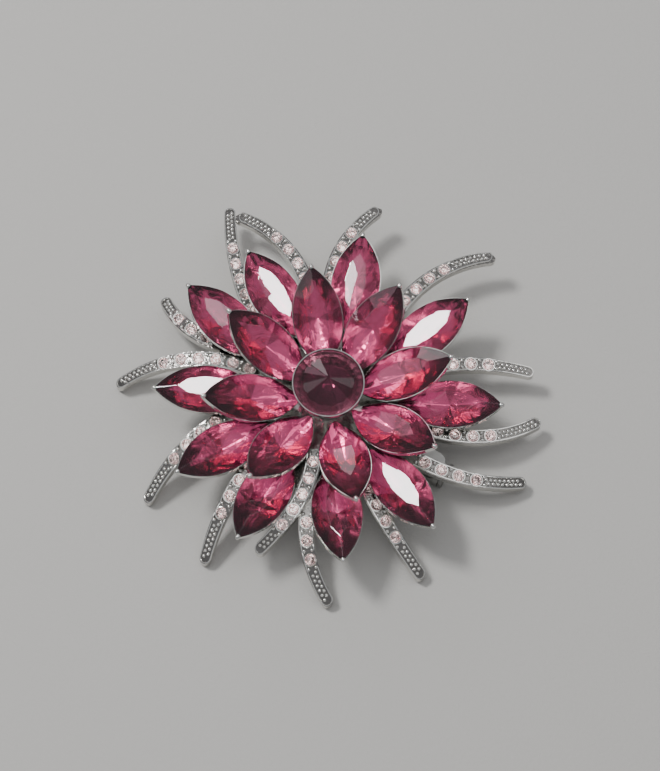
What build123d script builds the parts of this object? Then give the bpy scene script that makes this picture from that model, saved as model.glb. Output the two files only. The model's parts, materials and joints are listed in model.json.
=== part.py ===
from build123d import *
from math import asin, atan2, cos, degrees, hypot, radians, sin
import os

# Flower brooch: a spray of stone-set tendrils, two rings of navette stones in cups and a
# pointed round centre stone, soldered to a base plate that carries a bar pin with a
# turning safety catch.
#
# Millimetres. The origin is on the needle's axis under the middle of the flower. +X runs
# along the needle from the hinge to the point, +Z comes out of the front of the brooch.

os.makedirs("parts", exist_ok=True)

# ---- driving dimensions: stones -------------------------------------------------------
NAVETTE_LENGTH = 15.0
NAVETTE_WIDTH = 7.0
NAVETTE_CROWN = 1.3
NAVETTE_TABLE = [(4.4, 0.0), (2.8, 1.1), (0.0, 1.5)]  # one quarter of the table's corners
NAVETTE_CULET = 0.5  # the flat back is this share of the table
GIRDLE = 0.35
PAVILION = 1.55
SHOULDER = 0.3  # the cup stays straight this far below the girdle
CENTRE_DIAMETER = 10.0
CENTRE_CROWN = 2.3
CENTRE_RIM = 0.7  # height of the small facets round the centre stone's edge
CENTRE_RIM_WIDTH = 0.9
CENTRE_FACETS = 14
CENTRE_CULET_DIAMETER = 4.0
CHATON_DIAMETER = 1.7
CHATON_TABLE_DIAMETER = 1.0
CHATON_CROWN = 0.35
CHATON_GIRDLE = 0.15
CHATON_PAVILION = 0.7
CHATON_CULET_DIAMETER = 0.5
CHATON_PITCH = 2.6

# ---- driving dimensions: metalwork ----------------------------------------------------
CUP_WALL = 0.15
CUP_FLOOR = 0.3
CUP_CLEARANCE = 0.03  # round a stone in its cup
STEM_DIAMETER = 1.6
CENTRE_POST_DIAMETER = 5.0
CENTRE_LIP = 0.1  # of its cup over the centre stone's girdle
PLATE_RADIUS = 14.0
PLATE_THICKNESS = 1.0
ARM_WIDTH = 2.3
ARM_TIP_WIDTH = 1.7
ARM_THICKNESS = 1.35
ARM_TIP_THICKNESS = 1.1
CHATON_CLEARANCE = 0.03

# ---- driving dimensions: flower -------------------------------------------------------
OUTER_TILT = 8.0
OUTER_RISE = 2.15  # of the outer stones' girdles above the tendrils' tops
OUTER_STEM_AT = -4.8  # along the stone from its middle, towards the flower's middle
INNER_TILT = 24.0
INNER_RISE = 4.85
INNER_STEM_AT = -3.4
CENTRE_RISE = 7.45

# each outer stone: radius and angle of its middle, direction it points
OUTER_STONES = [
    (17.6, 147.5, 153.0),
    (17.8, 108.0, 112.5),
    (17.6, 65.5, 68.0),
    (17.6, 26.5, 27.0),
    (17.5, -22.5, -23.0),
    (17.7, -55.0, -52.5),
    (17.7, -90.2, -88.0),
    (17.2, -121.0, -117.5),
    (17.7, -152.0, -147.5),
    (19.0, 173.5, 168.0),
]
# each inner stone: radius of its middle and the angle it stands and points at
INNER_STONES = [
    (11.0, 129.0),
    (11.1, 86.0),
    (11.1, 43.0),
    (11.0, -2.0),
    (11.0, -46.5),
    (11.0, -97.0),
    (11.0, -142.0),
    (11.0, 174.0),
]
# each tendril: root radius and angle, tip radius and angle, bow to the left of the way it
# runs, height of its underside at the tip, tip to its first stone, number of stones
TENDRILS = [
    (12.5, 165.0, 34.5, 146.4, 1.6, 2.6, 7.0, 5),
    (12.5, 134.0, 32.4, 146.3, -3.7, 3.9, 7.2, 5),
    (12.5, 118.0, 31.4, 106.4, 3.2, 4.1, 6.0, 5),
    (12.5, 79.0, 33.5, 73.0, 3.6, 4.1, 8.0, 4),
    (12.5, 52.0, 30.6, 40.0, 1.1, 2.1, 6.8, 4),
    (12.5, 16.0, 31.1, 27.3, -2.8, 0.6, 8.2, 4),
    (12.5, -4.0, 30.9, 10.2, -2.4, -1.1, 7.6, 4),
    (12.2, -36.0, 28.9, -30.7, -0.8, -1.6, 6.5, 4),
    (12.5, -66.0, 29.4, -58.4, -2.5, -1.7, 6.5, 3),
    (8.2, -73.0, 24.7, -83.9, 2.0, 1.4, 5.0, 5),
    (12.5, -110.0, 29.4, -96.8, -0.8, -1.7, 7.0, 4),
    (12.5, -144.0, 30.0, -121.2, -1.4, -1.7, 7.0, 5),
    (11.5, -172.0, 31.6, -156.3, -2.4, -1.3, 7.5, 6),
    (18.0, -178.5, 29.9, 175.8, 1.6, 0.6, 5.0, 3),
]
RAISED_TENDRIL = 10  # this one lies on its neighbour's root
RAISED_FOOT_AT = 1.2  # from its root
RAISED_SEAT_EXTRA = 1.6  # it stays flat this much further, over its neighbour
SEAT_MARGIN = 0.6  # a tendril stays flat this far past the plate's edge
# the base plate's finger under the tendril whose root stands outside the plate
FINGER_REACH = 20.4
FINGER_WIDTH = 3.4

# ---- driving dimensions: bar pin ------------------------------------------------------
NEEDLE_DIAMETER = 0.9
NEEDLE_ROOT_EXTRA = 0.5  # the needle tapers down by this much from the hinge's axis
NEEDLE_ROOT_LENGTH = 2.5
NEEDLE_POINT_LENGTH = 5.3
NEEDLE_POINT_DIAMETER = 0.16
KNUCKLE_DIAMETER = 2.2
KNUCKLE_WIDTH = 1.6
EAR_RADIUS = 1.5
HINGE_X = -17.0
NEEDLE_END_X = 20.8
RIVET_DIAMETER = 1.0
RIVET_HEAD_DIAMETER = 1.7
RIVET_HEAD_THICKNESS = 0.3
RIVET_CLEARANCE = 0.03
EAR_THICKNESS = 0.5
EAR_CLEARANCE = 0.1  # each side of the knuckle
HINGE_BASE = 0.5
BAR_WIDTH = 4.2
BAR_THICKNESS = 0.7
BAR_LENGTH = 38.4
BAR_GAP = 2.0  # from the needle's axis to the bar
HOUSING_BORE = 2.9
HOUSING_WALL = 0.45
HOUSING_LENGTH = 2.8
HOUSING_X = 16.6
SLEEVE_CLEARANCE = 0.05
SLEEVE_ROOM = 0.4  # bore of the sleeve over the needle
SLOT_ROOM = 0.25  # width of the slots over the needle
COLLAR_DIAMETER = 3.5
COLLAR_LENGTH = 0.5
COLLAR_CLEARANCE = 0.1
LEVER_REACH = 2.7
LEVER_WIDTH = 0.9
LEVER_ANGLE = -20.0  # from +Y, with the catch open

PLATE_BOTTOM = BAR_GAP + BAR_THICKNESS
PLATE_TOP = PLATE_BOTTOM + PLATE_THICKNESS
ARM_TOP = PLATE_TOP + ARM_THICKNESS
OUTER_HEIGHT = ARM_TOP + OUTER_RISE
INNER_HEIGHT = ARM_TOP + INNER_RISE
CENTRE_HEIGHT = ARM_TOP + CENTRE_RISE
CUP_DEPTH = GIRDLE + PAVILION + CUP_FLOOR
CHATON_SEAT_DEPTH = CHATON_GIRDLE + CHATON_PAVILION


def finish(part, name):
    """Label a finished piece and write it as its own file."""
    part.label = name
    export_step(part, f"parts/{name}.step")


def polar(radius, angle):
    return (radius * cos(radians(angle)), radius * sin(radians(angle)))


def leaf(length, width):
    """The navette outline: two equal arcs that meet in points on the X axis."""
    with BuildSketch(mode=Mode.PRIVATE) as outline:
        with BuildLine():
            ThreePointArc((-length / 2, 0), (0, width / 2), (length / 2, 0))
            ThreePointArc((length / 2, 0), (0, -width / 2), (-length / 2, 0))
        make_face()
    return outline.sketch


def table_corners(share=1.0):
    """Corners of the navette's table, anticlockwise from the outer point."""
    (tip, _), (x, y), (_, top) = NAVETTE_TABLE
    quarter = [(tip, 0), (x, y), (0, top), (-x, y)]
    corners = quarter + [(-px, -py) for px, py in quarter]
    return [(px * share, py * share) for px, py in corners]


def rim_distance(normal, length, width):
    """How far the navette outline reaches from its middle along a direction."""
    radius = (length**2 + width**2) / (4 * width)
    centre = radius - width / 2
    lean = atan2(abs(normal[0]), abs(normal[1]))
    if lean > asin(length / 2 / radius):
        return abs(normal[0]) * length / 2
    return radius - centre * abs(normal[1])


def facet_planes(corners, height, rim_height, reach):
    """A plane through each side of a table that comes down to rim_height at the rim."""
    planes = []
    for (x0, y0), (x1, y1) in zip(corners, corners[1:] + corners[:1]):
        side = hypot(x1 - x0, y1 - y0)
        out = ((y1 - y0) / side, -(x1 - x0) / side)
        run = reach(out) - (out[0] * x0 + out[1] * y0)
        rise = height - rim_height
        normal = (out[0] * abs(rise), out[1] * abs(rise), run if rise > 0 else -run)
        planes.append(Plane(origin=(x0, y0, height), z_dir=normal))
    return planes


# ---- navette stone: outline cut by flat crown and pavilion facets ---------------------
def navette_reach(out):
    return rim_distance(out, NAVETTE_LENGTH, NAVETTE_WIDTH)


with BuildPart() as navette:
    with BuildSketch(Plane.XY.offset(-GIRDLE - PAVILION)):
        add(leaf(NAVETTE_LENGTH, NAVETTE_WIDTH))
    extrude(amount=PAVILION + GIRDLE + NAVETTE_CROWN)
    for plane in facet_planes(table_corners(), NAVETTE_CROWN, 0, navette_reach):
        split(bisect_by=plane, keep=Keep.BOTTOM)
    culet = table_corners(NAVETTE_CULET)
    for plane in facet_planes(culet, -GIRDLE - PAVILION, -GIRDLE, navette_reach):
        split(bisect_by=plane, keep=Keep.BOTTOM)


# ---- navette cup: a thin boat with a stem, in the ring's own tilt and height ----------
def seat(height, tilt):
    """Plane of a stone's girdle: its middle at height, its outer end tilted up."""
    return Plane(origin=(0, 0, height), x_dir=(cos(radians(tilt)), 0, sin(radians(tilt))),
                 z_dir=(-sin(radians(tilt)), 0, cos(radians(tilt))))


def boat(plane, grow, depth):
    """Straight-sided for the girdle, then drawn in to the flat back."""
    length = NAVETTE_LENGTH + 2 * grow
    width = NAVETTE_WIDTH + 2 * grow
    back = NAVETTE_CULET * 2 * NAVETTE_TABLE[0][0] + 2 * grow
    back_width = NAVETTE_CULET * 2 * NAVETTE_TABLE[2][1] + 2 * grow
    with BuildPart(mode=Mode.PRIVATE) as hull:
        with BuildSketch(plane.offset(-GIRDLE - SHOULDER)):
            add(leaf(length, width))
        extrude(amount=GIRDLE + SHOULDER)
        with BuildSketch(plane.offset(-GIRDLE - SHOULDER)):
            add(leaf(length, width))
        with BuildSketch(plane.offset(-depth)):
            add(leaf(back * 1.12, back_width * 1.25))
        loft(ruled=True)
    return hull.part


def navette_cup(height, tilt, stem_at):
    """One ring's cup with a stem that stands on the base plate."""
    plane = seat(height, tilt)
    stem_top = height + (stem_at - STEM_DIAMETER / 2) * sin(radians(tilt)) - GIRDLE
    outside = boat(plane, CUP_CLEARANCE + CUP_WALL, CUP_DEPTH)
    inside = boat(plane, CUP_CLEARANCE, GIRDLE + PAVILION)
    with BuildPart() as cup:
        add(outside)
        with BuildSketch(Plane.XY.offset(PLATE_TOP)):
            with Locations((stem_at * cos(radians(tilt)), 0)):
                Circle(STEM_DIAMETER / 2)
        extrude(amount=stem_top - PLATE_TOP)
        add(inside, mode=Mode.SUBTRACT)
    return cup.part


def at_stone(radius, angle, heading):
    x, y = polar(radius, angle)
    return Location((x, y, 0), (0, 0, heading))


outer_cup = navette_cup(OUTER_HEIGHT, OUTER_TILT, OUTER_STEM_AT)
outer_stone = navette.part.moved(seat(OUTER_HEIGHT, OUTER_TILT).location)
for number, (radius, angle, heading) in enumerate(OUTER_STONES, 1):
    place = at_stone(radius, angle, heading)
    finish(outer_cup.moved(place), f"outer_cup_{number:02d}")
    finish(outer_stone.moved(place), f"outer_stone_{number:02d}")

inner_cup = navette_cup(INNER_HEIGHT, INNER_TILT, INNER_STEM_AT)
inner_stone = navette.part.moved(seat(INNER_HEIGHT, INNER_TILT).location)
for number, (radius, angle) in enumerate(INNER_STONES, 1):
    place = at_stone(radius, angle, angle)
    finish(inner_cup.moved(place), f"inner_cup_{number}")
    finish(inner_stone.moved(place), f"inner_stone_{number}")

# ---- centre stone: pointed front, a rim of small facets, faceted back ------------------
CENTRE_R = CENTRE_DIAMETER / 2
APOTHEM = CENTRE_R * cos(radians(180 / CENTRE_FACETS))
with BuildPart() as centre_stone:
    with BuildSketch(Plane.XY.offset(CENTRE_HEIGHT - GIRDLE - PAVILION)):
        Circle(CENTRE_R)
    extrude(amount=PAVILION + GIRDLE + CENTRE_CROWN)
    for index in range(CENTRE_FACETS):
        out = polar(1, index * 360 / CENTRE_FACETS)
        fall = CENTRE_CROWN - CENTRE_RIM
        run = CENTRE_R - CENTRE_RIM_WIDTH
        apex = (0, 0, CENTRE_HEIGHT + CENTRE_CROWN)
        lean = (out[0] * fall, out[1] * fall, run)
        split(bisect_by=Plane(origin=apex, z_dir=lean), keep=Keep.BOTTOM)
        out = polar(1, (index + 0.5) * 360 / CENTRE_FACETS)
        edge = (out[0] * APOTHEM, out[1] * APOTHEM, CENTRE_HEIGHT)
        lean = (out[0] * CENTRE_RIM, out[1] * CENTRE_RIM, CENTRE_RIM_WIDTH)
        split(bisect_by=Plane(origin=edge, z_dir=lean), keep=Keep.BOTTOM)
        back = (out[0] * CENTRE_R, out[1] * CENTRE_R, CENTRE_HEIGHT - GIRDLE)
        lean = (out[0] * PAVILION, out[1] * PAVILION, CENTRE_CULET_DIAMETER / 2 - CENTRE_R)
        split(bisect_by=Plane(origin=back, z_dir=lean), keep=Keep.BOTTOM)
finish(centre_stone.part, "centre_stone")

with BuildPart() as centre_cup:
    floor = CENTRE_HEIGHT - CUP_DEPTH
    wall = CENTRE_R + CUP_CLEARANCE + CUP_WALL
    foot = CENTRE_CULET_DIAMETER / 2 + CUP_WALL + CUP_CLEARANCE
    with BuildSketch(Plane.XZ):
        with BuildLine():
            Polyline((0, floor), (foot + 0.4, floor), (wall, CENTRE_HEIGHT - GIRDLE - 0.2),
                     (wall, CENTRE_HEIGHT + CENTRE_LIP), (wall - CUP_WALL, CENTRE_HEIGHT + CENTRE_LIP),
                     (wall - CUP_WALL, CENTRE_HEIGHT - GIRDLE - 0.1),
                     (foot - CUP_WALL + 0.2, floor + CUP_FLOOR), (0, floor + CUP_FLOOR), close=True)
        make_face()
    revolve(axis=Axis.Z)
    with BuildSketch(Plane.XY.offset(PLATE_TOP)):
        Circle(CENTRE_POST_DIAMETER / 2)
    extrude(amount=floor - PLATE_TOP)
finish(centre_cup.part, "centre_cup")

# ---- base plate -----------------------------------------------------------------------
with BuildPart() as base_plate:
    with BuildSketch(Plane.XY.offset(PLATE_BOTTOM)):
        Circle(PLATE_RADIUS)
        with Locations((-FINGER_REACH / 2, 0)):
            Rectangle(FINGER_REACH, FINGER_WIDTH)
    extrude(amount=PLATE_THICKNESS)
    chamfer(base_plate.faces().sort_by(Axis.Z)[-1].outer_wire().edges(), 0.2)
finish(base_plate.part, "base_plate")


# ---- tendrils -------------------------------------------------------------------------
class Route:
    """A tendril's centre line: one arc in plan, flat over its seat and then one arc in height.

    Places are in the tendril's own frame: X from root to tip, Y to the left, Z up.
    """

    def __init__(self, root, tip, bow, seat, rise, tip_height):
        self.root = root
        self.length = hypot(tip[0] - root[0], tip[1] - root[1])
        self.heading = atan2(tip[1] - root[1], tip[0] - root[0])
        self.bow = bow
        self.side = 1 if bow > 0 else -1
        self.radius = (self.length**2 / 4 + bow**2) / (2 * abs(bow))
        self.half_angle = asin(self.length / 2 / self.radius)
        self.arc_length = 2 * self.half_angle * self.radius
        self.seat = seat
        self.under = PLATE_TOP + rise
        self.top = self.under + ARM_THICKNESS
        bend = 2 * atan2(tip_height - self.under, self.length - seat)
        self.end = (self.length, tip_height)
        self.end_top = (self.length - ARM_TIP_THICKNESS * sin(bend),
                        tip_height + ARM_TIP_THICKNESS * cos(bend))
        run = self.end_top[0] - seat
        fall = self.end_top[1] - self.top
        self.bend_radius = (run**2 + fall**2) / (2 * fall)

    def point(self, along, aside=0.0):
        """Plan place, from 0 at the root to 1 at the tip."""
        turn = self.half_angle * (2 * along - 1)
        reach = self.radius + aside * self.side
        x = self.length / 2 + reach * sin(turn)
        y = self.side * (reach * cos(turn) - self.radius) + self.bow
        return (x, y)

    def plan(self, height=0.0):
        """The tendril's own frame, level, at a height."""
        x_dir = (cos(self.heading), sin(self.heading), 0)
        return Plane(origin=(*self.root, height), x_dir=x_dir, z_dir=(0, 0, 1))

    def side_view(self):
        """Upright plane along the tendril: X from root to tip, Y up."""
        x_dir = (cos(self.heading), sin(self.heading), 0)
        return Plane(origin=(*self.root, 0), x_dir=x_dir, z_dir=(x_dir[1], -x_dir[0], 0))

    def top_plane(self, from_tip):
        """Plane of the tendril's top face where a stone sits, X along the tendril."""
        along = 1 - from_tip / self.arc_length
        x, y = self.point(along)
        past_seat = max(x - self.seat, 0)
        slope = asin(past_seat / self.bend_radius)
        z = self.top + self.bend_radius * (1 - cos(slope))
        veer = -self.side * self.half_angle * (2 * along - 1)
        origin = self.plan().from_local_coords((x, y, z))
        turned = self.plan().rotated((0, -degrees(slope), 0))
        plane = Plane(origin=origin, x_dir=turned.x_dir, z_dir=turned.z_dir)
        return plane.rotated((0, 0, degrees(veer)))


def tendril(route, stones):
    """Cast tendril with a flat root, bent up or down to its tip, and a seat for each stone."""
    half = ARM_WIDTH / 2
    tip_half = ARM_TIP_WIDTH / 2
    middle_half = (3 * half + tip_half) / 4
    near = 1 - tip_half / route.arc_length
    with BuildPart() as arm:
        with BuildSketch(route.plan()):
            with BuildLine():
                left = ThreePointArc(route.point(0, half), route.point(0.5, middle_half),
                                     route.point(near, tip_half))
                right = ThreePointArc(route.point(0, -half), route.point(0.5, -middle_half),
                                      route.point(near, -tip_half))
                ThreePointArc(left @ 1, route.point(1), right @ 1)
                Line(left @ 0, right @ 0)
            make_face()
        extrude(amount=20, both=True)
        with BuildSketch(route.side_view()):
            with BuildLine():
                Polyline((route.seat, route.under), (-2, route.under), (-2, route.top),
                         (route.seat, route.top))
                TangentArc((route.seat, route.top), route.end_top, tangent=(1, 0))
                Line(route.end_top, route.end)
                TangentArc((route.seat, route.under), route.end, tangent=(1, 0))
            make_face()
        extrude(amount=10, both=True, mode=Mode.INTERSECT)
        if route.under > PLATE_TOP:
            foot = route.point(RAISED_FOOT_AT / route.arc_length)
            with BuildSketch(route.plan(PLATE_TOP)):
                with Locations(foot):
                    Circle(STEM_DIAMETER / 2)
            extrude(amount=route.under - PLATE_TOP)
        for plane in stones:
            with BuildSketch(plane):
                Circle(CHATON_DIAMETER / 2 + CHATON_CLEARANCE)
            extrude(amount=-CHATON_SEAT_DEPTH, mode=Mode.SUBTRACT)
            with BuildSketch(plane):
                Circle(CHATON_DIAMETER / 2 + CHATON_CLEARANCE)
            extrude(amount=CHATON_CROWN, mode=Mode.SUBTRACT)
    return arm.part


with BuildPart() as chaton:
    with BuildSketch(Plane.XZ):
        with BuildLine():
            Polyline((0, CHATON_CROWN), (CHATON_TABLE_DIAMETER / 2, CHATON_CROWN), (CHATON_DIAMETER / 2, 0),
                     (CHATON_DIAMETER / 2, -CHATON_GIRDLE), (CHATON_CULET_DIAMETER / 2, -CHATON_SEAT_DEPTH),
                     (0, -CHATON_SEAT_DEPTH), close=True)
        make_face()
    revolve(axis=Axis.Z)

chatons = []
for number, values in enumerate(TENDRILS, 1):
    root_radius, root_angle, tip_radius, tip_angle, bow, tip_height, first, count = values
    edge = PLATE_RADIUS if root_radius < PLATE_RADIUS else FINGER_REACH
    seat_length = edge - root_radius + SEAT_MARGIN
    rise = 0
    if number == RAISED_TENDRIL:
        rise = ARM_THICKNESS
        seat_length += RAISED_SEAT_EXTRA
    root = polar(root_radius, root_angle)
    tip = polar(tip_radius, tip_angle)
    route = Route(root, tip, bow, seat_length, rise, tip_height)
    stones = [route.top_plane(first + index * CHATON_PITCH) for index in range(count)]
    chatons += [chaton.part.moved(plane.location) for plane in stones]
    finish(tendril(route, stones), f"tendril_{number:02d}")
finish(Compound(children=chatons), "chatons")

# ---- bar pin: bar, hinge bracket, rivet and needle ------------------------------------
with BuildPart() as pin_bar:
    with BuildSketch(Plane.XY.offset(BAR_GAP)):
        RectangleRounded(BAR_LENGTH, BAR_WIDTH, BAR_WIDTH / 3)
    extrude(amount=BAR_THICKNESS)
finish(pin_bar.part, "pin_bar")

EAR_INSIDE = KNUCKLE_WIDTH / 2 + EAR_CLEARANCE
EAR_OUTSIDE = EAR_INSIDE + EAR_THICKNESS
with BuildPart() as hinge_bracket:
    with BuildSketch(Plane.XZ.offset(-EAR_OUTSIDE)):
        with Locations((HINGE_X, 0)):
            Circle(EAR_RADIUS)
        with Locations((HINGE_X, BAR_GAP / 2)):
            Rectangle(2 * EAR_RADIUS, BAR_GAP)
    extrude(amount=2 * EAR_OUTSIDE)
    with BuildSketch(Plane.XZ.offset(-EAR_INSIDE)):
        with Locations((HINGE_X, (BAR_GAP - HINGE_BASE) - 4)):
            Rectangle(8, 8)
    extrude(amount=2 * EAR_INSIDE, mode=Mode.SUBTRACT)
    with BuildSketch(Plane.XZ.offset(-EAR_OUTSIDE)):
        with Locations((HINGE_X, 0)):
            Circle(RIVET_DIAMETER / 2)
    extrude(amount=2 * EAR_OUTSIDE, mode=Mode.SUBTRACT)
finish(hinge_bracket.part, "hinge_bracket")

with BuildPart() as hinge_rivet:
    with BuildSketch(Plane.XZ.offset(-EAR_OUTSIDE)):
        with Locations((HINGE_X, 0)):
            Circle(RIVET_DIAMETER / 2)
    extrude(amount=2 * EAR_OUTSIDE)
    for start, way in ((-EAR_OUTSIDE, -1), (EAR_OUTSIDE, 1)):
        with BuildSketch(Plane.XZ.offset(start)):
            with Locations((HINGE_X, 0)):
                Circle(RIVET_HEAD_DIAMETER / 2)
        extrude(amount=way * RIVET_HEAD_THICKNESS)
    chamfer(hinge_rivet.faces().sort_by(Axis.Y)[0].edges(), RIVET_HEAD_THICKNESS / 2)
    chamfer(hinge_rivet.faces().sort_by(Axis.Y)[-1].edges(), RIVET_HEAD_THICKNESS / 2)
finish(hinge_rivet.part, "hinge_rivet")

NEEDLE_ROOT_DIAMETER = NEEDLE_DIAMETER + NEEDLE_ROOT_EXTRA
NEEDLE_ROOT_END = HINGE_X + NEEDLE_ROOT_LENGTH
with BuildPart() as needle:
    with BuildSketch(Plane.XZ):
        with BuildLine():
            Polyline((HINGE_X, 0), (HINGE_X, NEEDLE_ROOT_DIAMETER / 2),
                     (NEEDLE_ROOT_END, NEEDLE_DIAMETER / 2),
                     (NEEDLE_END_X - NEEDLE_POINT_LENGTH, NEEDLE_DIAMETER / 2),
                     (NEEDLE_END_X, NEEDLE_POINT_DIAMETER / 2), (NEEDLE_END_X, 0), close=True)
        make_face()
    revolve(axis=Axis.X)
    with BuildSketch(Plane.XZ.offset(-KNUCKLE_WIDTH / 2)):
        with Locations((HINGE_X, 0)):
            Circle(KNUCKLE_DIAMETER / 2)
    extrude(amount=KNUCKLE_WIDTH)
    with BuildSketch(Plane.XZ.offset(-KNUCKLE_WIDTH / 2)):
        with Locations((HINGE_X, 0)):
            Circle(RIVET_DIAMETER / 2 + RIVET_CLEARANCE)
    extrude(amount=KNUCKLE_WIDTH, mode=Mode.SUBTRACT)
finish(needle.part, "needle")

# ---- safety catch: a slotted ring on the bar and a slotted sleeve that turns in it -----
HOUSING_R = HOUSING_BORE / 2 + HOUSING_WALL
SLOT_WIDTH = NEEDLE_DIAMETER + SLOT_ROOM
SLEEVE_BORE = NEEDLE_DIAMETER + SLEEVE_ROOM
with BuildPart() as catch_housing:
    with BuildSketch(Plane.YZ.offset(HOUSING_X)):
        Circle(HOUSING_R)
        with Locations((0, BAR_GAP / 2)):
            Rectangle(2 * HOUSING_R * 0.7, BAR_GAP)
        Circle(HOUSING_BORE / 2, mode=Mode.SUBTRACT)
        with Locations((0, -HOUSING_R)):
            Rectangle(SLOT_WIDTH, 2 * HOUSING_R, mode=Mode.SUBTRACT)
    extrude(amount=HOUSING_LENGTH)
finish(catch_housing.part, "catch_housing")

SLEEVE_R = HOUSING_BORE / 2 - SLEEVE_CLEARANCE
SLEEVE_X = HOUSING_X - COLLAR_CLEARANCE - COLLAR_LENGTH
SLEEVE_LENGTH = HOUSING_LENGTH + 2 * (COLLAR_CLEARANCE + COLLAR_LENGTH)
LEVER_X = SLEEVE_X + SLEEVE_LENGTH - COLLAR_LENGTH
with BuildPart() as catch_sleeve:
    with BuildSketch(Plane.YZ.offset(SLEEVE_X)):
        Circle(SLEEVE_R)
    extrude(amount=SLEEVE_LENGTH)
    for x in (SLEEVE_X, LEVER_X):
        with BuildSketch(Plane.YZ.offset(x)):
            Circle(COLLAR_DIAMETER / 2)
        extrude(amount=COLLAR_LENGTH)
    with BuildSketch(Plane.YZ.offset(LEVER_X)):
        with Locations(Location((*polar(LEVER_REACH / 2, LEVER_ANGLE), 0), (0, 0, LEVER_ANGLE))):
            SlotOverall(LEVER_REACH, LEVER_WIDTH)
    extrude(amount=COLLAR_LENGTH)
    with BuildSketch(Plane.YZ.offset(SLEEVE_X)):
        Circle(SLEEVE_BORE / 2)
        with Locations((0, -COLLAR_DIAMETER / 2)):
            Rectangle(SLOT_WIDTH, COLLAR_DIAMETER)
    extrude(amount=SLEEVE_LENGTH, mode=Mode.SUBTRACT)
finish(catch_sleeve.part, "catch_sleeve")
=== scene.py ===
import bpy
import json
import math
from mathutils import Matrix, Vector


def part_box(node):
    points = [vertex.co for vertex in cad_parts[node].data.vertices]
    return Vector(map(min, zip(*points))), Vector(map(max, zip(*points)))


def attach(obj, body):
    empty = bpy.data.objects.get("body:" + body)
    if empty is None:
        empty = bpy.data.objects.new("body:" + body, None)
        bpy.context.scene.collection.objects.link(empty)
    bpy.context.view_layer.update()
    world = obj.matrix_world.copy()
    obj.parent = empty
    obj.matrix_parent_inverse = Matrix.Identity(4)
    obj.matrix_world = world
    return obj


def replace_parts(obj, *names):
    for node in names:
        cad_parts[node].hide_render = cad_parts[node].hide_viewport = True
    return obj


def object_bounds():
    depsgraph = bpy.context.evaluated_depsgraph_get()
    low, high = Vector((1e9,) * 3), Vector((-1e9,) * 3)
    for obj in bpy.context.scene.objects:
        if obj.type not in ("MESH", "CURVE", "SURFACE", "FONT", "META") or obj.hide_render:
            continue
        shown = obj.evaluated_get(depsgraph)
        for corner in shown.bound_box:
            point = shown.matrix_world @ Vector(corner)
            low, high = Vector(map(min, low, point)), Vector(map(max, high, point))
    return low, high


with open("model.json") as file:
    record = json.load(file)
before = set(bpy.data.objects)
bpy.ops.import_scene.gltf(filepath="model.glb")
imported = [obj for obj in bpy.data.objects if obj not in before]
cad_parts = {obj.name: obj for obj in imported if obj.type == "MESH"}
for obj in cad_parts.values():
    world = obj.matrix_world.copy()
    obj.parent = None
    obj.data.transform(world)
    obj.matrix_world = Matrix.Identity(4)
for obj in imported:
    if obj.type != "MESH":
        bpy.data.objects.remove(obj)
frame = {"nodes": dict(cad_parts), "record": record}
cad_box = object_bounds()

MM = 0.001

# ---- sizes in millimetres -------------------------------------------------------------
NAVETTE_LENGTH = 15.0
NAVETTE_WIDTH = 7.0
NAVETTE_CROWN = 1.3
NAVETTE_TABLE = [(4.4, 0.0), (2.8, 1.1), (0.0, 1.5)]
GIRDLE = 0.35
PAVILION = 1.55
BACK_FACETS = [12, 38, 58, 74, 90]  # degrees from the long axis, one quarter of the back
POLISHED_EDGE = 0.06
OVERHANG = 0.1  # of a navette's polished girdle over its cup's rim
CENTRE_RADIUS = 5.0
CENTRE_CROWN = 2.3
CENTRE_RIM = 0.7
CENTRE_RIM_WIDTH = 1.15
CENTRE_FACETS = 14
CHATON_RADIUS = 0.85
CHATON_TABLE_RADIUS = 0.48
CHATON_CROWN = 0.35
CHATON_GIRDLE = 0.15
CHATON_PAVILION = 0.7
COLLAR_WIRE = 0.12
COLLAR_HEIGHT = 0.06  # of the collar wire's middle over the seat
SEAT_FLAT = 0.98  # each side of a small stone's middle, where the tendril's top is its seat
PRONG_RADIUS = 0.3
PRONG_RISE = 0.08
PRONG_ASIDE = 0.56
PRONG_AHEAD = 1.15  # from an end stone's middle to the prongs beyond it
GRAIN_RADIUS = 0.29
GRAIN_PITCH = 0.68
GRAIN_ASIDE = 0.27
GRAIN_START = 1.0  # from the tip
GRAIN_STOP = 1.55  # short of the first stone's middle
RAIL_WIRE = 0.12
RAIL_RISE = 0.02
RAIL_PAST_STONE = 1.3  # from the last stone's middle to the rail's end
TENDRIL_TIP_HALF = 0.85
TENDRIL_WIDENING = 0.3 / 21  # half width gained per millimetre from the tip
CLAW_RADIUS = 0.42


# ---- colour and node helpers ----------------------------------------------------------
def srgb(code):
    """A hex colour as the linear values that the shader wants."""
    parts = [int(code[i:i + 2], 16) / 255 for i in (1, 3, 5)]
    linear = [c / 12.92 if c <= 0.04045 else ((c + 0.055) / 1.055) ** 2.4 for c in parts]
    return (*linear, 1.0)


def node(material, kind, links=None, **settings):
    """Add a node with its settings, and link sockets {input: (node, output)}."""
    made = material.node_tree.nodes.new(kind)
    for name, value in settings.items():
        if hasattr(made, name):
            setattr(made, name, value)
        else:
            made.inputs[name.replace("_", " ")].default_value = value
    for name, (source, output) in (links or {}).items():
        material.node_tree.links.new(source.outputs[output], made.inputs[name])
    return made


def shader(name, color, **settings):
    material = bpy.data.materials.new(name)
    material.use_nodes = True
    principled = material.node_tree.nodes["Principled BSDF"]
    principled.inputs["Base Color"].default_value = srgb(color)
    for key, value in settings.items():
        principled.inputs[key.replace("_", " ")].default_value = value
    return material, principled


def feature(size):
    """Texture scale that gives features of a size in millimetres."""
    return 1 / (size * MM)


def plug(material, source, output, principled, name):
    material.node_tree.links.new(source.outputs[output], principled.inputs[name])


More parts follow.
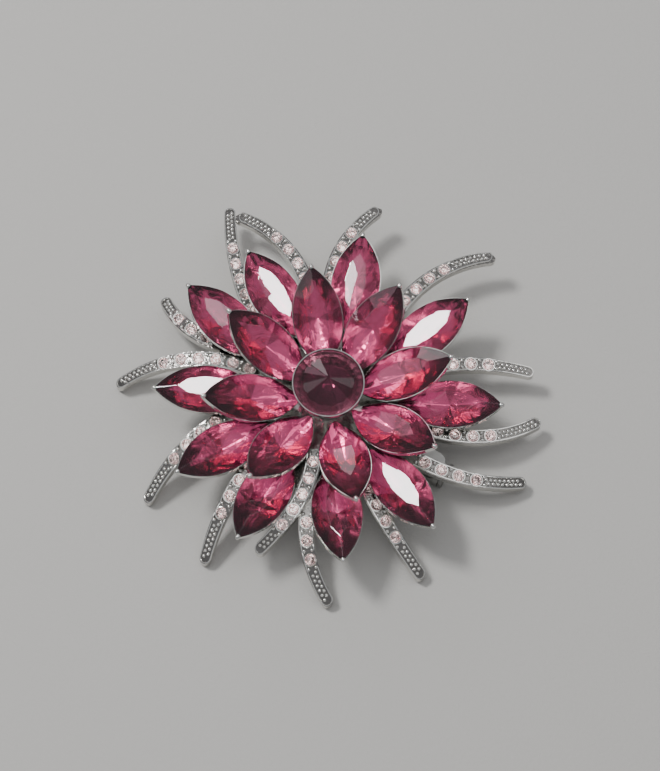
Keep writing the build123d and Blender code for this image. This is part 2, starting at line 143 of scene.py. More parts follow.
def uneven(material, principled, size, low, high):
    """Roughness that wanders between two values in patches of a size in millimetres."""
    place = node(material, "ShaderNodeTexCoord")
    patches = node(material, "ShaderNodeTexNoise", {"Vector": (place, "Object")}, Scale=feature(size),
                   Detail=3.0)
    spread = node(material, "ShaderNodeMapRange", {"Value": (patches, "Fac")}, From_Min=0.35, From_Max=0.65,
                  To_Min=low, To_Max=high)
    plug(material, spread, "Result", principled, "Roughness")
    return place


def ripple(material, principled, place, size, height, detail=2.0):
    """A gentle bump with features of a size and height in millimetres."""
    waves = node(material, "ShaderNodeTexNoise", {"Vector": (place, "Object")}, Scale=feature(size),
                 Detail=detail)
    bump = node(material, "ShaderNodeBump", {"Height": (waves, "Fac")}, Distance=height * MM, Strength=1.0)
    plug(material, bump, "Normal", principled, "Normal")


def bright_plating(name, color, low, high, waviness):
    # Rhodium-coloured plating on polished castings: a bright, cool mirror that wavers a
    # little, because the casting under it was tumbled and not ground flat.
    material, principled = shader(name, color, Metallic=1.0)
    place = uneven(material, principled, 0.8, low, high)
    ripple(material, principled, place, 0.7, waviness)
    return material


def tendril_casting():
    # Cast plating of a tendril: bright smooth sides, and a top painted darker grey where it faces up,
    # as painted shade for the pits between the beads.
    material, principled = shader("tendril_casting", "#D8D6D1", Metallic=1.0)
    place = uneven(material, principled, 0.5, 0.1, 0.22)
    ripple(material, principled, place, 0.4, 0.06)
    # Painted shade: faces that look up get the dark grey, steep sides keep the bright plating colour.
    facing = node(material, "ShaderNodeNewGeometry")
    parts = node(material, "ShaderNodeSeparateXYZ", {"Vector": (facing, "Normal")})
    tone = node(material, "ShaderNodeValToRGB", {"Fac": (parts, "Z")})
    tone.color_ramp.elements[0].position = 0.6
    tone.color_ramp.elements[0].color = srgb("#D8D6D1")
    tone.color_ramp.elements[1].position = 0.8
    tone.color_ramp.elements[1].color = srgb("#8A8784")
    plug(material, tone, "Color", principled, "Base Color")
    return material


def needle_steel():
    # Drawn steel wire: fine lines along the wire and a slightly darker grey.
    material, principled = shader("needle_steel", "#A9A9AA", Metallic=1.0)
    place = node(material, "ShaderNodeTexCoord")
    stretch = node(material, "ShaderNodeMapping", {"Vector": (place, "Object")}, Scale=(0.05, 1, 1))
    lines = node(material, "ShaderNodeTexNoise", {"Vector": (stretch, "Vector")}, Scale=feature(0.05),
                 Detail=2.0)
    spread = node(material, "ShaderNodeMapRange", {"Value": (lines, "Fac")}, To_Min=0.2, To_Max=0.4)
    plug(material, spread, "Result", principled, "Roughness")
    return material


def cut_glass(name, dark, color, light):
    # Coloured lead-type glass, pressed and polished: clear, with sharp facet mirrors and
    # a faint waviness left by the mould. Each facet's colour is painted lighter or darker, as painted
    # reflection and shade.
    material, principled = shader(name, color, Roughness=0.01, IOR=1.54, Transmission_Weight=1.0)
    place = node(material, "ShaderNodeTexCoord")
    ripple(material, principled, place, 2.5, 0.004, detail=1.0)
    # Painted reflection and shade: the facet tone picks a darker or lighter glass colour.
    facet_painted_light = node(material, "ShaderNodeAttribute", attribute_name="facet_painted_light")
    tone = node(material, "ShaderNodeValToRGB", {"Fac": (facet_painted_light, "Fac")})
    tone.color_ramp.elements[0].color = srgb(dark)
    tone.color_ramp.elements[1].color = srgb(light)
    tone.color_ramp.elements.new(0.5).color = srgb(color)
    plug(material, tone, "Color", principled, "Base Color")
    return material


def foil(name, color, size, height, roughness):
    # The mirror coat on a stone's back, seen through the glass: it follows the crumpled
    # back of the pressed glass, so reflections break into streaks and sparkles.
    material, principled = shader(name, color, Metallic=1.0, Roughness=roughness)
    place = node(material, "ShaderNodeTexCoord")
    folds = node(material, "ShaderNodeTexNoise", {"Vector": (place, "Object")}, Scale=feature(size),
                 Detail=2.0, Distortion=1.2)
    chips = node(material, "ShaderNodeTexVoronoi", {"Vector": (place, "Object")}, Scale=feature(size * 0.9))
    both = node(material, "ShaderNodeMath", {"Value": (folds, "Fac")}, operation="MULTIPLY_ADD")
    both.inputs[1].default_value = 1.3
    material.node_tree.links.new(chips.outputs["Distance"], both.inputs[2])
    bump = node(material, "ShaderNodeBump", {"Height": (both, "Value")}, Distance=height * MM, Strength=1.0)
    plug(material, bump, "Normal", principled, "Normal")
    return material


def cup_plating():
    # The plating inside and under the stone cups: bright at the rims, with painted shade that turns
    # it near black where the cups crowd together.
    material = bright_plating("rhodium_plating", "#DCDBD7", 0.08, 0.2, 0.02)
    principled = material.node_tree.nodes["Principled BSDF"]
    # Painted shade: ambient occlusion darkens the plating colour to near black in the crowded gaps between
    # cups.
    painted_nook_shade = node(material, "ShaderNodeAmbientOcclusion", samples=4, Distance=2.5 * MM)
    tone = node(material, "ShaderNodeValToRGB", {"Fac": (painted_nook_shade, "AO")})
    tone.color_ramp.elements[0].position = 0.4
    tone.color_ramp.elements[0].color = srgb("#262424")
    tone.color_ramp.elements[1].position = 0.8
    tone.color_ramp.elements[1].color = srgb("#DCDBD7")
    plug(material, tone, "Color", principled, "Base Color")
    return material


CASTING = cup_plating()
# The findings' plating is a darker grey than the rest, as painted shade for the pin parts in the shadow
# under the brooch.
FINDING = bright_plating("findings_plating", "#999895", 0.28, 0.4, 0.01)
TENDRIL = tendril_casting()
BEADS = bright_plating("bead_plating", "#E6E5E1", 0.06, 0.16, 0.015)
STEEL = needle_steel()
# The dark and light ends of each glass are painted shade and painted reflection for single facets; the
# middle is the glass colour.
RUBY = cut_glass("ruby_glass", "#D03A78", "#FA629C", "#FF88B2")
RUBY_FOIL = foil("ruby_foil", "#FFF0F2", 3.2, 0.1, 0.16)
GARNET = cut_glass("garnet_glass", "#582036", "#9C4E6E", "#FFD0DE")
GARNET_FOIL = foil("garnet_foil", "#D8B4C0", 2.5, 0.02, 0.14)
ROSE = cut_glass("rose_glass", "#FAC8C8", "#FFDEDA", "#FFF6F4")
ROSE_FOIL = foil("rose_foil", "#FFFBFA", 0.6, 0.05, 0.05)

FINISHES = {"plated_casting": CASTING, "plated_findings": FINDING, "steel_needle": STEEL,
            "ruby_glass": RUBY, "garnet_glass": GARNET, "rose_glass": ROSE}
for part in frame["record"]["subparts"]:
    cad = frame["nodes"][part["node"]]
    cad.data.materials.clear()
    finish = FINISHES[part["material_slot"]]
    if part["node"].startswith("tendril"):
        finish = TENDRIL
    cad.data.materials.append(finish)


# ---- modelling helpers: pieces are modelled at one unit to the millimetre ---------------
def deselect():
    bpy.ops.object.select_all(action="DESELECT")


def round_blank(radius, low, high, sides, at=(0, 0), turn=0.0):
    """A plain round blank to cut a piece from."""
    deselect()
    bpy.ops.mesh.primitive_cylinder_add(vertices=sides, radius=radius, depth=high - low,
                                        location=(*at, (low + high) / 2), rotation=(0, 0, turn))
    bpy.ops.object.transform_apply(location=True, rotation=True, scale=True)
    return bpy.context.object


def grind(planes):
    """Cut the active piece flat on each plane and close the cut."""
    bpy.ops.object.mode_set(mode="EDIT")
    for place, normal in planes:
        bpy.ops.mesh.select_all(action="SELECT")
        bpy.ops.mesh.bisect(plane_co=place, plane_no=normal, use_fill=True, clear_outer=True, threshold=1e-5)
    bpy.ops.mesh.select_all(action="SELECT")
    bpy.ops.mesh.dissolve_limited(angle_limit=math.radians(0.5))
    bpy.ops.mesh.normals_make_consistent(inside=False)
    bpy.ops.object.mode_set(mode="OBJECT")


def polish_edges():
    """Round the active stone's facet edges by the little that polishing takes off."""
    bpy.ops.object.mode_set(mode="EDIT")
    bpy.ops.mesh.select_all(action="DESELECT")
    bpy.ops.mesh.select_mode(type="EDGE")
    bpy.ops.mesh.edges_select_sharp(sharpness=math.radians(8))
    bpy.ops.mesh.bevel(offset=POLISHED_EDGE, segments=1, affect="EDGES")
    bpy.ops.object.mode_set(mode="OBJECT")


def shade_facets(stone, facet_painted_light):
    """Give each facet a tone from 0 to 1 that lightens or darkens its glass colour: painted reflection and
    shade.
    """
    shades = stone.data.attributes.new("facet_painted_light", "FLOAT", "FACE")
    for face in stone.data.polygons:
        shades.data[face.index].value = facet_painted_light(face)


def silver_back(stone, glass, coat):
    """Glass in front, mirror coat on every facet that looks backwards."""
    stone.data.materials.append(glass)
    stone.data.materials.append(coat)
    for face in stone.data.polygons:
        face.material_index = 1 if face.normal.z < -0.05 else 0


def to_metres(thing):
    thing.data.transform(Matrix.Scale(MM, 4))
    return thing


def set_in_place(model, name, places, smooth=False):
    """Copy a modelled piece to each place, joined as one piece that rides on the brooch."""
    copies = []
    for place in places:
        copy = bpy.data.objects.new(name, model.data.copy())
        copy.data.transform(place)
        bpy.context.scene.collection.objects.link(copy)
        copies.append(copy)
    deselect()
    for copy in copies:
        copy.select_set(True)
    bpy.context.view_layer.objects.active = copies[0]
    if len(copies) > 1:
        bpy.ops.object.join()
    piece = bpy.context.object
    piece.name = name
    if smooth:
        bpy.ops.object.shade_smooth_by_angle(angle=math.radians(50))
    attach(piece, "brooch")
    return piece


def discard(model):
    bpy.data.objects.remove(model)


# ---- navettes -------------------------------------------------------------------------
def navette_reach(out):
    """How far the navette outline reaches from its middle along a direction."""
    radius = (NAVETTE_LENGTH**2 + NAVETTE_WIDTH**2) / (4 * NAVETTE_WIDTH)
    lean = math.atan2(abs(out.x), abs(out.y))
    if lean > math.asin(NAVETTE_LENGTH / 2 / radius):
        return abs(out.x) * NAVETTE_LENGTH / 2
    return radius - (radius - NAVETTE_WIDTH / 2) * abs(out.y)


def table_sides(share):
    """Corner pairs round the table, scaled by a share."""
    (tip, _), (x, y), (_, top) = NAVETTE_TABLE
    quarter = [(tip, 0), (x, y), (0, top), (-x, y)]
    corners = [Vector((px, py, 0)) * share for px, py in quarter]
    corners += [-corner for corner in corners]
    return list(zip(corners, corners[1:] + corners[:1]))


def facets(share, height, rim_height):
    """Cutting planes from the sides of a table down, or up, to the rim."""
    planes = []
    for start, end in table_sides(share):
        side = (end - start).normalized()
        out = Vector((side.y, -side.x, 0))
        run = navette_reach(out) - out.dot(start)
        rise = height - rim_height
        normal = out * abs(rise) + Vector((0, 0, run if rise > 0 else -run))
        planes.append(((start.x, start.y, height), normal.normalized()))
    return planes


def back_facets():
    """Cutting planes of the back: each leaves the rim and rises to a short keel."""
    planes = []
    for angle in BACK_FACETS:
        for across, along in ((1, 1), (1, -1), (-1, 1), (-1, -1)):
            out = Vector((along * math.cos(math.radians(angle)), across * math.sin(math.radians(angle)), 0))
            reach = navette_reach(out)
            place = out * reach + Vector((0, 0, -GIRDLE))
            planes.append((place, (out * PAVILION - Vector((0, 0, reach))).normalized()))
    return planes


def navette_model():
    """A marquise stone: leaf outline, crown facets round a long table, and a keeled back."""
    arc_radius = (NAVETTE_LENGTH**2 + NAVETTE_WIDTH**2) / (4 * NAVETTE_WIDTH)
    aside = arc_radius - NAVETTE_WIDTH / 2
    stone = round_blank(arc_radius, -GIRDLE - PAVILION, NAVETTE_CROWN, 72, at=(0, -aside))
    bpy.ops.object.mode_set(mode="EDIT")
    bpy.ops.mesh.select_all(action="SELECT")
    bpy.ops.mesh.bisect(plane_co=(0, 0, 0), plane_no=(0, -1, 0), clear_outer=True, threshold=1e-5)
    bpy.ops.mesh.select_all(action="SELECT")
    bpy.ops.mesh.duplicate()
    bpy.ops.transform.resize(value=(1, -1, 1), center_override=(0, 0, 0))
    bpy.ops.mesh.select_all(action="SELECT")
    bpy.ops.mesh.remove_doubles(threshold=0.001)
    bpy.ops.mesh.normals_make_consistent(inside=False)
    bpy.ops.object.mode_set(mode="OBJECT")
    grind(facets(1.0, NAVETTE_CROWN, 0) + back_facets())
    polish_edges()
    # Painted shade: facets that face the stone's points get a darker glass colour than the table and sides.
    shade_facets(stone, lambda face: 0.1 if abs(face.normal.x) > 0.6 * abs(face.normal.y) + 0.04 else 0.6)
    length = 1 + 2 * OVERHANG / NAVETTE_LENGTH
    width = 1 + 2 * OVERHANG / NAVETTE_WIDTH
    bpy.ops.transform.resize(value=(length, width, 1))
    bpy.ops.transform.translate(value=(0, 0, OVERHANG))
    bpy.ops.object.transform_apply(location=True, rotation=True, scale=True)
    silver_back(stone, RUBY, RUBY_FOIL)
    return to_metres(stone)


def largest_flat(faces):
    """Normal and a point of the largest flat that faces up, from (normal, centre, area)."""
    flats = {}
    for normal, centre, area in faces:
        if normal.z > 0.5:
            key = tuple(round(part, 2) for part in normal)
            total, _, _ = flats.get(key, (0, None, None))
            flats[key] = (total + area, normal, centre)
    _, normal, point = max(flats.values(), key=lambda flat: flat[0])
    return normal, point


def world_faces(cad):
    """Normal, centre and area of each face of a node of the frame."""
    turn = cad.matrix_world.to_3x3()
    return [((turn @ face.normal).normalized(), cad.matrix_world @ face.center, face.area)
            for face in cad.data.polygons]


def navette_place(name):
    """Where a navette of the frame sits: X to its outer point, Z out of its table."""
    cad = frame["nodes"][name]
    corners = [cad.matrix_world @ vertex.co for vertex in cad.data.vertices]
    middle = sum(corners, Vector()) / len(corners)
    one = max(corners, key=lambda corner: (corner - middle).length)
    other = max(corners, key=lambda corner: (corner - one).length)
    outer, inner = sorted((one, other), key=lambda corner: corner.xy.length, reverse=True)
    up, point = largest_flat(world_faces(cad))
    along = outer - inner
    along = (along - up * along.dot(up)).normalized()
    centre = (outer + inner) / 2
    centre += up * ((point - centre).dot(up) - NAVETTE_CROWN * MM)
    turn = Matrix((along, up.cross(along), up)).transposed().to_4x4()
    return Matrix.Translation(centre) @ turn


NAVETTES = [part["node"] for part in frame["record"]["subparts"] if part["material_slot"] == "ruby_glass"]
navette_places = {name: navette_place(name) for name in NAVETTES}
model = navette_model()
for name, place in navette_places.items():
    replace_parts(set_in_place(model, f"cut_{name}", [place]), name)
discard(model)


# ---- centre stone ---------------------------------------------------------------------
def centre_model():
    """A pointed round stone: long facets to the point, a ring of small facets at the rim."""
    half = math.pi / CENTRE_FACETS
    stone = round_blank(CENTRE_RADIUS, -GIRDLE - PAVILION, CENTRE_CROWN, 4 * CENTRE_FACETS)
    planes = []
    for index in range(CENTRE_FACETS):
        turn = index * 2 * half
        out = Vector((math.cos(turn), math.sin(turn), 0))
        fall = CENTRE_CROWN - CENTRE_RIM
        run = CENTRE_RADIUS - CENTRE_RIM_WIDTH
        planes.append(((0, 0, CENTRE_CROWN), (out * fall + Vector((0, 0, run))).normalized()))
    for index in range(2 * CENTRE_FACETS):
        turn = (index + 0.5) * half
        out = Vector((math.cos(turn), math.sin(turn), 0))
        edge = out * CENTRE_RADIUS * math.cos(half / 2)
        planes.append((edge, (out * CENTRE_RIM + Vector((0, 0, CENTRE_RIM_WIDTH))).normalized()))
        back = out * CENTRE_RADIUS + Vector((0, 0, -GIRDLE))
        planes.append((back, (out * PAVILION - Vector((0, 0, CENTRE_RADIUS * 0.9))).normalized()))
    grind(planes)
    polish_edges()

    # Painted reflection: long facets get a darker or lighter glass colour at random, and rim facets are
    # painted lighter as painted sparkle.
    def facet_painted_light(face):
        turn = math.atan2(face.center.y, face.center.x) / half
        scatter = math.sin(round(turn) * 12.9) * 43.7 % 1
        rim = face.center.xy.length > CENTRE_RADIUS - CENTRE_RIM_WIDTH
        return 0.55 + 0.45 * scatter if rim else 0.5 * scatter

    shade_facets(stone, facet_painted_light)
    silver_back(stone, GARNET, GARNET_FOIL)
    return to_metres(stone)


_, centre_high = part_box("centre_stone")
girdle_height = centre_high[2] - CENTRE_CROWN * MM
model = centre_model()
at_centre = Matrix.Translation((0, 0, girdle_height))
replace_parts(set_in_place(model, "cut_centre_stone", [at_centre]), "centre_stone")
discard(model)


# ---- small stones ---------------------------------------------------------------------
def chaton_model():
    """A small round stone: eight crown facets round a table, a cone of facets behind."""
    stone = round_blank(CHATON_RADIUS, -CHATON_GIRDLE - CHATON_PAVILION, CHATON_CROWN, 16)
    planes = []
    for index in range(8):
        turn = index * math.pi / 4
        out = Vector((math.cos(turn), math.sin(turn), 0))
        run = CHATON_RADIUS - CHATON_TABLE_RADIUS
        top = out * CHATON_TABLE_RADIUS + Vector((0, 0, CHATON_CROWN))
        planes.append((top, (out * CHATON_CROWN + Vector((0, 0, run))).normalized()))
        back = out * CHATON_RADIUS + Vector((0, 0, -CHATON_GIRDLE))
        planes.append((back, (out * CHATON_PAVILION - Vector((0, 0, CHATON_RADIUS * 0.85))).normalized()))
    grind(planes)
    # Painted reflection: each facet's glass colour is lighter or darker at random.
    shade_facets(stone, lambda face: math.sin(face.index * 7.3) * 9.1 % 1)
    silver_back(stone, ROSE, ROSE_FOIL)
    return to_metres(stone)


def loose_parts(name):
    """World corner lists of each separate solid of a node of the frame."""
    cad = frame["nodes"][name]
    deselect()
    copy = bpy.data.objects.new("loose", cad.data.copy())
    copy.data.transform(cad.matrix_world)
    bpy.context.scene.collection.objects.link(copy)
    copy.select_set(True)
    bpy.context.view_layer.objects.active = copy
    bpy.ops.object.mode_set(mode="EDIT")
    bpy.ops.mesh.select_all(action="SELECT")
    bpy.ops.mesh.remove_doubles(threshold=0.001 * MM)
    bpy.ops.mesh.separate(type="LOOSE")
    bpy.ops.object.mode_set(mode="OBJECT")
    parts = []
    for part in list(bpy.context.selected_objects):
        parts.append(([vertex.co.copy() for vertex in part.data.vertices],
                      [(face.normal.copy(), face.center.copy(), face.area) for face in part.data.polygons]))
        discard(part)
    return parts


def chaton_place(corners, faces):
    """Where a small stone sits: the middle of its girdle's top, and its table's normal."""
    up, point = largest_flat(faces)
    middle = sum(corners, Vector()) / len(corners)
    centre = middle + up * ((point - middle).dot(up) - CHATON_CROWN * MM)
    return centre, up


chaton_seats = [chaton_place(*part) for part in loose_parts("chatons")]


# ---- the tendrils' own lines: tip, stones along an arc, height from the casting ---------
class Line:
    """A tendril's centre line, measured in metres from its tip."""

    def __init__(self, name, seats):
        self.cad = frame["nodes"][name]
        self.back = self.cad.matrix_world.inverted()
        corners = [self.cad.matrix_world @ vertex.co for vertex in self.cad.data.vertices]
        tip = max(corners, key=lambda corner: corner.xy.length)
        seats = sorted(seats, key=lambda seat: (seat[0] - tip).xy.length)
        self.seats = seats
        round_end = TENDRIL_TIP_HALF * MM
        end = tip.xy - tip.xy.normalized() * round_end
        self.centre, self.radius = self.circle(end, seats[0][0].xy, seats[-1][0].xy)
        first = seats[0][0].xy - self.centre
        start = end - self.centre
        self.way = 1 if start.cross(first) > 0 else -1
        self.start = math.atan2(start.y, start.x) - self.way * round_end / self.radius
        self.stones = [self.along(centre.xy) for centre, _ in seats]

    def circle(self, a, b, c):
        """Centre and radius of the circle through three places in plan."""
        d = 2 * ((b - a).cross(c - a))
        ab, ac = (b - a), (c - a)
        x = (ac.y * ab.length_squared - ab.y * ac.length_squared) / d
        y = (ab.x * ac.length_squared - ac.x * ab.length_squared) / d
        centre = a + Vector((x, y))
        return centre, Vector((x, y)).length

    def along(self, place):
        """Distance from the tip along the line to a place in plan."""
        turn = place - self.centre
        angle = (math.atan2(turn.y, turn.x) - self.start) * self.way
        return (angle % (2 * math.pi)) * self.radius

    def plan(self, distance, aside=0.0):
        angle = self.start + self.way * distance / self.radius
        reach = self.radius + aside * self.way
        return self.centre + reach * Vector((math.cos(angle), math.sin(angle)))

    def on_top(self, distance, aside=0.0):
        """Point and normal on the casting's top, or None where it is past the edge."""
        place = self.plan(distance, aside)
        start = self.back @ Vector((*place, 0.03))
        turn = self.back.to_3x3()
        hit, point, normal, _ = self.cad.ray_cast(start, turn @ Vector((0, 0, -1)))
        if not hit:
            return None
        world = self.cad.matrix_world
        return world @ point, (world.to_3x3() @ normal).normalized()

    def surface(self, distance, aside=0.0):
        """Point and normal on the top, taken from the small stone's seat where there is one."""
        near = [seat for seat, stone in zip(self.seats, self.stones)
                if abs(distance - stone) < SEAT_FLAT * MM]
        if not near:
            return self.on_top(distance, aside)
        centre, up = near[-1]
        place = self.plan(distance, aside)
        fall = Vector((*place, 0)) - Vector((*centre.xy, 0))
        height = centre.z - (up.x * fall.x + up.y * fall.y) / up.z
        return Vector((*place, height)), up


TENDRILS = sorted(name for name in frame["nodes"] if name.startswith("tendril"))


def near_tendril(centre):
    """The tendril whose casting a small stone is set in."""
    def gap(name):
        cad = frame["nodes"][name]
        hit, point, _, _ = cad.closest_point_on_mesh(cad.matrix_world.inverted() @ centre)
        return (cad.matrix_world @ point - centre).length

    return min(TENDRILS, key=gap)


seats_of = {name: [] for name in TENDRILS}
for centre, up in chaton_seats:
    seats_of[near_tendril(centre)].append((centre, up))
lines = {name: Line(name, seats_of[name]) for name in TENDRILS}


def upright(centre, up, along=None):
    """A place with Z along up, and X along the tendril if it is given."""
    along = along or Vector((1, 0, 0))
    along = (along - up * along.dot(up)).normalized()
    turn = Matrix((along, up.cross(along), up)).transposed().to_4x4()
    return Matrix.Translation(centre) @ turn


model = chaton_model()
places = []
for line in lines.values():
    for index, (centre, up) in enumerate(line.seats):
        ahead = line.plan(line.stones[index] + MM) - line.plan(line.stones[index])
        turn = Matrix.Rotation(0.7 * index, 4, "Z")
        places.append(upright(centre, up, Vector((*ahead, 0))) @ turn)
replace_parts(set_in_place(model, "cut_chatons", places), "chatons")
discard(model)


# ---- collars, prongs, grain and rails on the tendrils -----------------------------------
deselect()
bpy.ops.mesh.primitive_torus_add(major_radius=CHATON_RADIUS + COLLAR_WIRE * 0.6, minor_radius=COLLAR_WIRE,
                                 major_segments=20, minor_segments=6, location=(0, 0, COLLAR_HEIGHT))
bpy.ops.object.transform_apply(location=True, rotation=True, scale=True)
model = to_metres(bpy.context.object)
model.data.materials.append(BEADS)
set_in_place(model, "stone_collars", places, smooth=True)
discard(model)


def bead_model(radius, rise):
    """A small bead that stands out of the casting."""
    deselect()
    bpy.ops.mesh.primitive_uv_sphere_add(segments=8, ring_count=6, radius=radius, location=(0, 0, rise))
    bpy.ops.object.transform_apply(location=True, rotation=True, scale=True)
    bead = to_metres(bpy.context.object)
    bead.data.materials.append(BEADS)
    return bead


def bead_places(line, spots):
    """Upright places on a tendril's top for (distance, aside) pairs."""
    found = []
    for distance, aside in spots:
        ground = line.surface(distance, aside)
        if ground and ground[1].z > 0.6:
            found.append(upright(*ground))
    return found


def prong_spots(line):
    """Two prongs in every gap between stones, and two before the first and after the last."""
    gaps = [(a + b) / 2 for a, b in zip(line.stones, line.stones[1:])]
    gaps = [line.stones[0] - PRONG_AHEAD * MM] + gaps + [line.stones[-1] + PRONG_AHEAD * MM]
    return [(gap, side * PRONG_ASIDE * MM) for gap in gaps for side in (-1, 1)]


def grain_spots(line):
    """Two staggered rows of grain from the tip to the first stone."""
    spots = []
    distance = GRAIN_START * MM
    while distance < line.stones[0] - GRAIN_STOP * MM:
        spots.append((distance, -GRAIN_ASIDE * MM))
        spots.append((distance + GRAIN_PITCH / 2 * MM, GRAIN_ASIDE * MM))
        distance += GRAIN_PITCH * MM
    return spots


model = bead_model(PRONG_RADIUS, PRONG_RISE)
places = [place for line in lines.values() for place in bead_places(line, prong_spots(line))]
set_in_place(model, "bead_prongs", places, smooth=True)
discard(model)

model = bead_model(GRAIN_RADIUS, 0.0)
places = [place for line in lines.values() for place in bead_places(line, grain_spots(line))]
set_in_place(model, "milled_grain", places, smooth=True)
discard(model)


def rail_path(line):
    """Along one edge from the last stone, round the tip and back along the other edge."""
    end = line.stones[-1] + RAIL_PAST_STONE * MM
    nose = TENDRIL_TIP_HALF * MM
    steps = 26
    spots = []
    for step in range(steps + 1):
        distance = end + (nose - end) * step / steps
        half = (TENDRIL_TIP_HALF - RAIL_WIRE + TENDRIL_WIDENING * distance / MM) * MM
        spots.append((distance, half))
    bend = spots[-1][1]
    for step in range(1, 8):
        turn = math.pi * step / 8
        spots.append((nose - bend * math.sin(turn) * 0.95, bend * math.cos(turn)))
    spots += [(distance, -aside) for distance, aside in reversed(spots[:steps + 1])]
    points = []
    for distance, aside in spots:
        ground = line.surface(distance, aside) or line.surface(distance, aside * 0.9)
        if ground and ground[1].z > 0.5:
            points.append(ground[0] + ground[1] * RAIL_RISE * MM)
    return points


def rail(name, points):
    """A thin half-sunk wire along a path."""
    curve = bpy.data.curves.new(name, "CURVE")
    curve.dimensions = "3D"
    curve.bevel_depth = RAIL_WIRE * MM
    curve.bevel_resolution = 1
    curve.use_fill_caps = True
    spline = curve.splines.new("POLY")
    spline.points.add(len(points) - 1)
    for spot, point in zip(spline.points, points):
        spot.co = (*point, 1)
    wire = bpy.data.objects.new(name, curve)
    bpy.context.scene.collection.objects.link(wire)
    deselect()
    wire.select_set(True)
    bpy.context.view_layer.objects.active = wire
    bpy.ops.object.convert(target="MESH")
    wire = bpy.context.object
    wire.data.materials.append(BEADS)
    bpy.ops.object.shade_smooth_by_angle(angle=math.radians(50))
    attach(wire, "brooch")


for name, line in lines.items():
    rail(f"rail_{name}", rail_path(line))

# ---- claws over the points of the navettes ----------------------------------------------
deselect()
bpy.ops.mesh.primitive_uv_sphere_add(segments=12, ring_count=8, radius=CLAW_RADIUS)
bpy.ops.transform.resize(value=(1.25, 0.9, 1.0))
bpy.ops.object.transform_apply(location=True, rotation=True, scale=True)
model = to_metres(bpy.context.object)
model.data.materials.append(CASTING)
places = []
for place in navette_places.values():
    places.append(place @ Matrix.Translation((NAVETTE_LENGTH / 2 * MM, 0, 0)))
set_in_place(model, "point_claws", places, smooth=True)
discard(model)


# ---- floor, light and camera ----------------------------------------------------------
low, _ = cad_box
deselect()
bpy.ops.mesh.primitive_plane_add(size=3.0, location=(0, 0, low[2]))
floor = bpy.context.object
floor.name = "floor"


def pale_paper():
    # Matt pale paper with a faint tooth.
    material, principled = shader("pale_paper", "#BDBBB7", Roughness=0.9)
    place = node(material, "ShaderNodeTexCoord")
    ripple(material, principled, place, 0.6, 0.05)
    return material


floor.data.materials.append(pale_paper())

CAMERA_TURN = math.radians(31)
CAMERA_RISE = math.radians(70)
CAMERA_DISTANCE = 0.35
TARGET = Vector((0, 0, 12.5 * MM))
TABLE_LAMP_DISTANCE = 0.5
FACET_LAMP_DISTANCE = 0.6
FRAME_HEIGHT = 0.11014  # of the target's plane that fills the picture from top to bottom


def seen(right, back, up, distance):
    """A place by its direction from the target: right and back as the camera sees them."""
    turn = Matrix.Rotation(CAMERA_TURN, 3, "Z")
    return TARGET + distance * (turn @ Vector((right, back, up))).normalized()


def look(thing, target):
    thing.rotation_euler = (Vector(target) - thing.location).to_track_quat("-Z", "Y").to_euler()


def softbox(name, place, size, radiance, color="#FFFFFF"):
    lamp = bpy.data.lights.new(name, "AREA")
    lamp.shape = "RECTANGLE"
    lamp.size, lamp.size_y = size
    lamp.energy = radiance * math.pi * size[0] * size[1]
    lamp.color = srgb(color)[:3]
    thing = bpy.data.objects.new(name, lamp)
    bpy.context.scene.collection.objects.link(thing)
    thing.location = place
    look(thing, TARGET)
    return thing


camera = bpy.data.cameras.new("camera")
eye = bpy.data.objects.new("camera", camera)
bpy.context.scene.collection.objects.link(eye)
eye.location = seen(0, -math.cos(CAMERA_RISE), math.sin(CAMERA_RISE), CAMERA_DISTANCE)
look(eye, TARGET)
camera.sensor_fit = "VERTICAL"
camera.sensor_height = 24
camera.lens = 24 * CAMERA_DISTANCE / FRAME_HEIGHT
camera.shift_x = 0.0022
camera.shift_y = -0.0038
camera.clip_start = 0.01
bpy.context.scene.camera = eye


def mirrored(middle, up, distance):
    """Where the camera looks by way of a flat facet."""
    view = (eye.location - middle).normalized()
    return middle + distance * (2 * view.dot(up) * up - view)


def light_only(lamp, piece):
    """Keep a lamp's light off everything but one piece, as a studio flag does."""
    lit = bpy.data.collections.new(f"lit_by_{lamp.name}")
    lit.objects.link(bpy.data.objects[piece])
    lamp.light_linking.receiver_collection = lit


def table_lamp(name, size, aside, radiance):
    """A round lamp that the camera sees in one navette's table, flagged off all else."""
    place = navette_places[name]
    turn = place.to_3x3()
    middle = mirrored(place @ Vector((0, 0, NAVETTE_CROWN * MM)), turn @ Vector((0, 0, 1)),
                      TABLE_LAMP_DISTANCE)
    lamp = softbox(f"lamp_in_{name}", middle + turn @ Vector((0, aside, 0)), (size, size), radiance)
    lamp.data.shape = "ELLIPSE"
    light_only(lamp, f"cut_{name}")


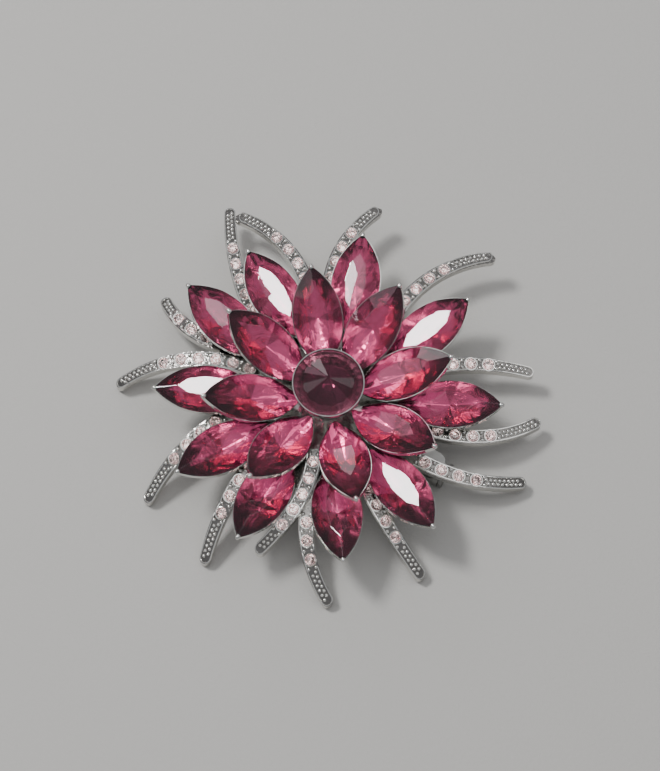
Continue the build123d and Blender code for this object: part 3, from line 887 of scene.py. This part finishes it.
def in_centre_facet(azimuth):
    """Where the camera looks by way of one of the centre stone's long facets."""
    fall = math.atan2(CENTRE_CROWN - CENTRE_RIM, CENTRE_RADIUS - CENTRE_RIM_WIDTH)
    turn = CAMERA_TURN + math.radians(azimuth)
    out = Vector((math.cos(turn), math.sin(turn), 0))
    middle = out * CENTRE_RADIUS / 2 * MM + Vector((0, 0, girdle_height + CENTRE_CROWN / 2 * MM))
    return mirrored(middle, out * math.sin(fall) + Vector((0, 0, math.cos(fall))), FACET_LAMP_DISTANCE)


softbox("key", seen(-0.45, 0.25, 0.86, 0.55), (0.10, 0.10), 62)
for name in ("outer_stone_03", "outer_stone_05", "outer_stone_09"):
    table_lamp(name, 0.05, 0.0, 45)
table_lamp("outer_stone_01", 0.08, -0.038, 45)
table_lamp("outer_stone_02", 0.08, 0.04, 18)
table_lamp("outer_stone_10", 0.08, 0.03, 3)
light_only(softbox("sparkle_in_small_stones", seen(0, 0.35, 1, 0.6), (0.5, 0.5), 2.5), "cut_chatons")
softbox("window_in_centre_stone", in_centre_facet(112), (0.16, 0.16), 3)
softbox("wall_in_centre_stone", in_centre_facet(150), (0.12, 0.12), 2, "#F0C8D8")
for name, side in (("ceiling_left", -0.36), ("ceiling_right", 0.36)):
    softbox(name, seen(side, 0.15, 1.0, 0.95), (0.4, 1.0), 0.95)


def studio():
    # A dim room round a bright ceiling: metal and facets mirror dark walls and light above.
    room = bpy.data.worlds.new("studio")
    room.use_nodes = True
    way = node(room, "ShaderNodeTexCoord")
    parts = node(room, "ShaderNodeSeparateXYZ", {"Vector": (way, "Generated")})
    tone = node(room, "ShaderNodeValToRGB", {"Fac": (parts, "Z")})
    tone.color_ramp.elements[0].position = 0.1
    tone.color_ramp.elements[0].color = srgb("#9A9B9E")
    tone.color_ramp.elements[1].position = 0.8
    tone.color_ramp.elements[1].color = srgb("#C4C6CA")
    background = room.node_tree.nodes["Background"]
    room.node_tree.links.new(tone.outputs["Color"], background.inputs["Color"])
    background.inputs["Strength"].default_value = 0.78
    return room


bpy.context.scene.world = studio()
